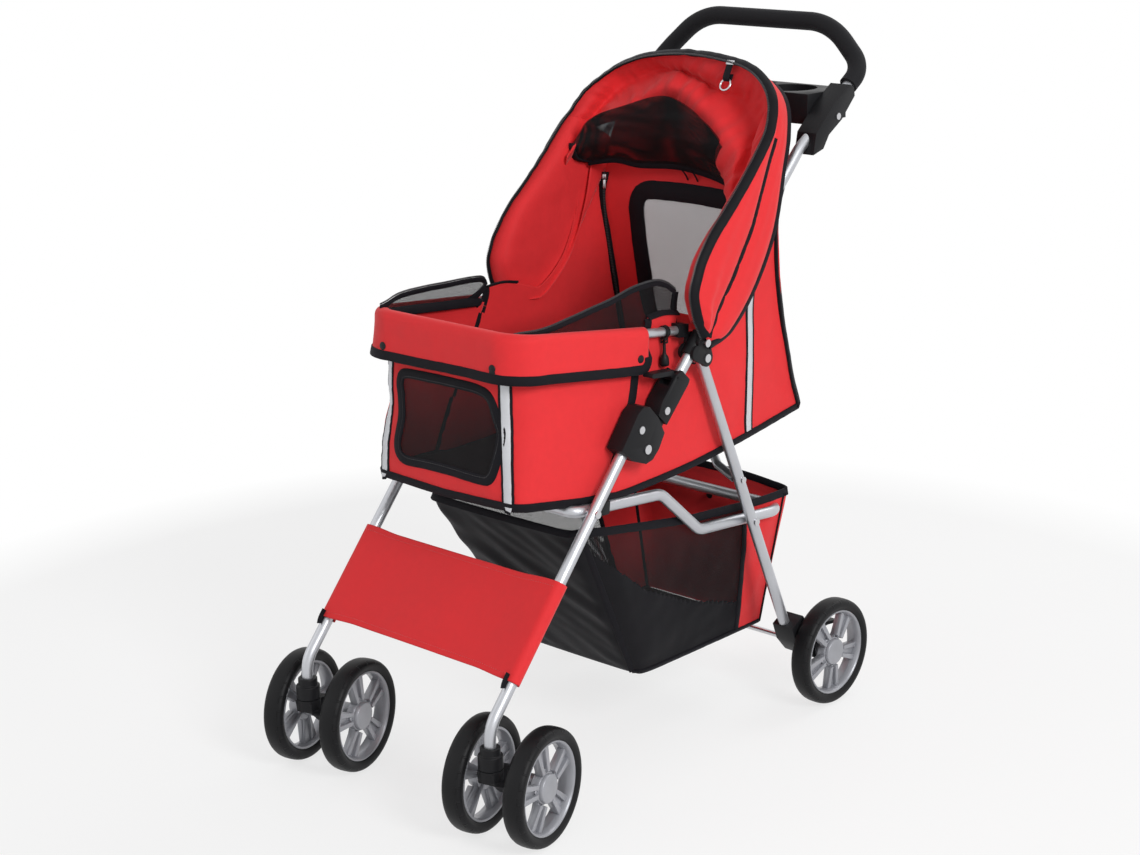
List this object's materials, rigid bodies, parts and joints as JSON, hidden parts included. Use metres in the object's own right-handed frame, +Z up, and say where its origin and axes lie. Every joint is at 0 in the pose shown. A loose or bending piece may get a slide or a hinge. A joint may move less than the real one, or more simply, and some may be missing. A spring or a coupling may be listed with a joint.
{
  "type": "pet stroller",
  "caption": "Four-wheel folding pet stroller with a fabric cabin, opening canopy, cup tray, underseat basket and twin-wheel front casters.",
  "frame": {"origin": "on the floor, in the middle plane of the frame, halfway along the overall length", "axes": "+Z up; the stroller faces -Y, and +X is the side on the right when it is seen from the front"},
  "size_m": [0.4774, 0.7919, 0.9405],
  "materials": {
    "silver_tube": "satin silver paint",
    "zinc": "plated rivet",
    "black_plastic": "moulded, fine grain",
    "foam": "soft foam sleeve",
    "rim_plastic": "silver grey moulded",
    "tyre": "foam tyre with shallow tread",
    "red_fabric": "woven polyester",
    "floor_board": "covered board"
  },
  "bodies": {
    "front_frame": {"front_leg_right": "silver_tube", "front_leg_left": "silver_tube", "lock_body_right": "black_plastic", "lock_body_left": "black_plastic", "frame_pins": "zinc", "caster_socket_right": "black_plastic", "caster_socket_left": "black_plastic", "footrest_panel": "red_fabric"},
    "caster_right": {"caster_housing_right": "black_plastic", "caster_axle_right": "zinc"},
    "caster_left": {"caster_housing_left": "black_plastic", "caster_axle_left": "zinc"},
    "wheel_front_right_outer": {"rim_front_right_outer": "rim_plastic", "tyre_front_right_outer": "tyre"},
    "wheel_front_right_inner": {"rim_front_right_inner": "rim_plastic", "tyre_front_right_inner": "tyre"},
    "wheel_front_left_inner": {"rim_front_left_inner": "rim_plastic", "tyre_front_left_inner": "tyre"},
    "wheel_front_left_outer": {"rim_front_left_outer": "rim_plastic", "tyre_front_left_outer": "tyre"},
    "rear_legs": {"rear_leg_right": "silver_tube", "rear_leg_left": "silver_tube", "rear_cross_tube": "silver_tube", "rear_axle_rod": "zinc", "axle_block_right": "black_plastic", "axle_block_left": "black_plastic", "leg_rivets": "zinc"},
    "wheel_rear_right": {"rim_rear_right": "rim_plastic", "tyre_rear_right": "tyre"},
    "wheel_rear_left": {"rim_rear_left": "rim_plastic", "tyre_rear_left": "tyre"},
    "brake_right": {"brake_pedal_right": "black_plastic"},
    "brake_left": {"brake_pedal_left": "black_plastic"},
    "basket_frame": {"basket_bar": "silver_tube", "bar_sleeves": "black_plastic", "basket": "red_fabric", "basket_board": "floor_board"},
    "handle_frame": {"handle_tube": "silver_tube", "foam_grip": "foam", "lock_sleeve_right": "black_plastic", "lock_sleeve_left": "black_plastic", "leg_bracket_right": "black_plastic", "leg_bracket_left": "black_plastic", "handle_rivets": "zinc", "hood_pins": "zinc", "front_bar": "silver_tube", "tray": "black_plastic", "tray_clamp_right": "black_plastic", "tray_clamp_left": "black_plastic", "cabin_tub": "red_fabric", "cabin_board": "floor_board", "front_flap": "red_fabric", "canopy": "red_fabric", "snaps": "black_plastic"},
    "latch_right": {"latch_right": "black_plastic"},
    "latch_left": {"latch_left": "black_plastic"},
    "hood": {"hood_hoop": "black_plastic", "hood_band": "red_fabric"},
    "d_ring": {"d_ring": "zinc"},
    "zip_pull": {"zip_pull": "black_plastic"}
  },
  "joints": [
    {"name": "fold", "type": "hinge", "parent": "front_frame", "child": "handle_frame", "pos_m": [0, -0.08, 0.447], "axis": [1, 0, 0], "range_deg": [-130, 0], "deforming": ["cabin_tub", "front_flap", "canopy"]},
    {"name": "rear_leg_pivot", "type": "hinge", "parent": "handle_frame", "child": "rear_legs", "pos_m": [0, 0.03789, 0.54029], "axis": [1, 0, 0], "range_deg": [0, 80]},
    {"name": "basket_bar_pivot", "type": "hinge", "parent": "front_frame", "child": "basket_frame", "pos_m": [0, -0.168, 0.383], "axis": [1, 0, 0], "range_deg": [-85, 0], "deforming": ["basket", "basket_board"]},
    {"name": "caster_swivel_right", "type": "hinge", "parent": "front_frame", "child": "caster_right", "pos_m": [0.166, -0.357, 0.12], "axis": [0, 0, 1], "continuous": true},
    {"name": "caster_swivel_left", "type": "hinge", "parent": "front_frame", "child": "caster_left", "pos_m": [-0.166, -0.357, 0.12], "axis": [0, 0, 1], "continuous": true},
    {"name": "latch_right_lift", "type": "hinge", "parent": "handle_frame", "child": "latch_right", "pos_m": [0.166, -0.02164, 0.52687], "axis": [1, 0, 0], "range_deg": [-25, 0], "stiffness_Nm_per_rad": 0.12, "springref_deg": 20.05},
    {"name": "latch_left_lift", "type": "hinge", "parent": "handle_frame", "child": "latch_left", "pos_m": [-0.166, -0.02164, 0.52687], "axis": [1, 0, 0], "range_deg": [-25, 0], "stiffness_Nm_per_rad": 0.12, "springref_deg": 20.05},
    {"name": "hood_fold", "type": "hinge", "parent": "handle_frame", "child": "hood", "pos_m": [0, 0.03114, 0.56209], "axis": [1, 0, 0], "range_deg": [0, 85]},
    {"name": "d_ring_swing", "type": "hinge", "parent": "hood", "child": "d_ring", "pos_m": [0.075, 0.20559, 0.86784], "axis": [1, 0, 0], "range_deg": [-150, 0]},
    {"name": "zip_pull_swing", "type": "hinge", "parent": "handle_frame", "child": "zip_pull", "pos_m": [0.15, -0.013, 0.5685], "axis": [1, 0, 0], "range_deg": [-35, 35]},
    {"name": "wheel_front_right_outer_spin", "type": "hinge", "parent": "caster_right", "child": "wheel_front_right_outer", "pos_m": [0.19862, -0.30171, 0.075], "axis": [0.9781, 0.2079, 0], "continuous": true},
    {"name": "wheel_front_right_inner_spin", "type": "hinge", "parent": "caster_right", "child": "wheel_front_right_inner", "pos_m": [0.11371, -0.31976, 0.075], "axis": [0.9781, 0.2079, 0], "continuous": true},
    {"name": "wheel_front_left_inner_spin", "type": "hinge", "parent": "caster_left", "child": "wheel_front_left_inner", "pos_m": [-0.13583, -0.30034, 0.075], "axis": [0.9681, 0.2504, 0], "continuous": true},
    {"name": "wheel_front_left_outer_spin", "type": "hinge", "parent": "caster_left", "child": "wheel_front_left_outer", "pos_m": [-0.21986, -0.32207, 0.075], "axis": [0.9681, 0.2504, 0], "continuous": true},
    {"name": "wheel_rear_right_spin", "type": "hinge", "parent": "rear_legs", "child": "wheel_rear_right", "pos_m": [0.201, 0.28, 0.075], "axis": [1, 0, 0], "continuous": true},
    {"name": "brake_right_press", "type": "hinge", "parent": "rear_legs", "child": "brake_right", "pos_m": [0.169, 0.283, 0.101], "axis": [1, 0, 0], "range_deg": [-18, 0]},
    {"name": "wheel_rear_left_spin", "type": "hinge", "parent": "rear_legs", "child": "wheel_rear_left", "pos_m": [-0.201, 0.28, 0.075], "axis": [1, 0, 0], "continuous": true},
    {"name": "brake_left_press", "type": "hinge", "parent": "rear_legs", "child": "brake_left", "pos_m": [-0.169, 0.283, 0.101], "axis": [1, 0, 0], "range_deg": [-18, 0]}
  ],
  "couplings": [
    {"joint": "rear_leg_pivot", "follows": "fold", "ratio": -0.59},
    {"joint": "basket_bar_pivot", "follows": "fold", "ratio": 0.635}
  ]
}
